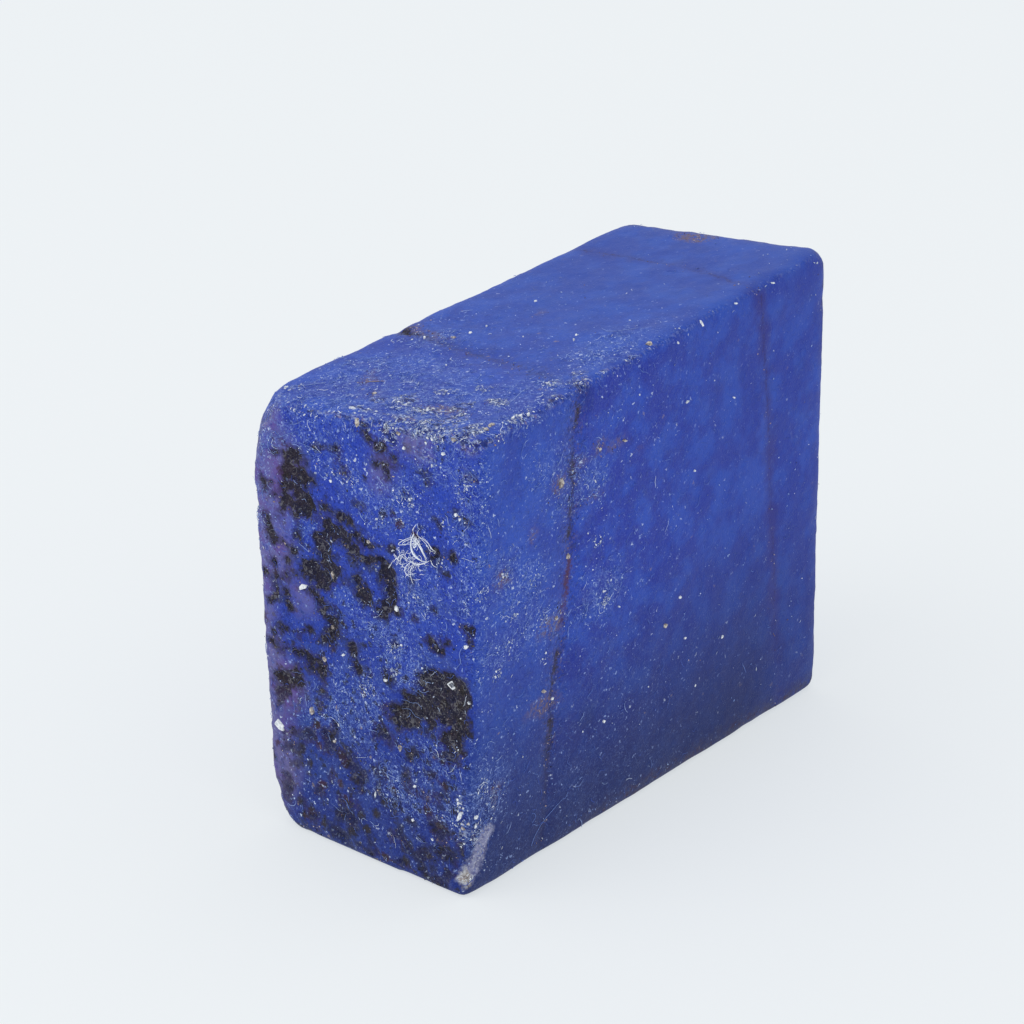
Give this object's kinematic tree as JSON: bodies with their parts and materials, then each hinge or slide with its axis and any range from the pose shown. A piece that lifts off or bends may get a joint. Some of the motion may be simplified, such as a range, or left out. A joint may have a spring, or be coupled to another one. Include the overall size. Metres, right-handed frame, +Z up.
{
  "type": "rough sapphire",
  "caption": "Upright sawn block of rough blue sapphire with worn edges, healed fractures and dark rock pits in one end; rests on its flat underside.",
  "frame": {"origin": "middle of the length and thickness on the flat underside", "axes": "+Z up; +X along the two broad faces, with the pitted end at -X; +Y through the thickness, with the fractured broad face at -Y"},
  "size_m": [0.0295, 0.0148, 0.0253],
  "materials": {
    "sapphire": "satin, worn and slightly dusty",
    "grit": "matt mineral dust and chips",
    "lint": "loose pale fibres"
  },
  "bodies": {
    "root": {"stone": "sapphire"}
  },
  "joints": []
}
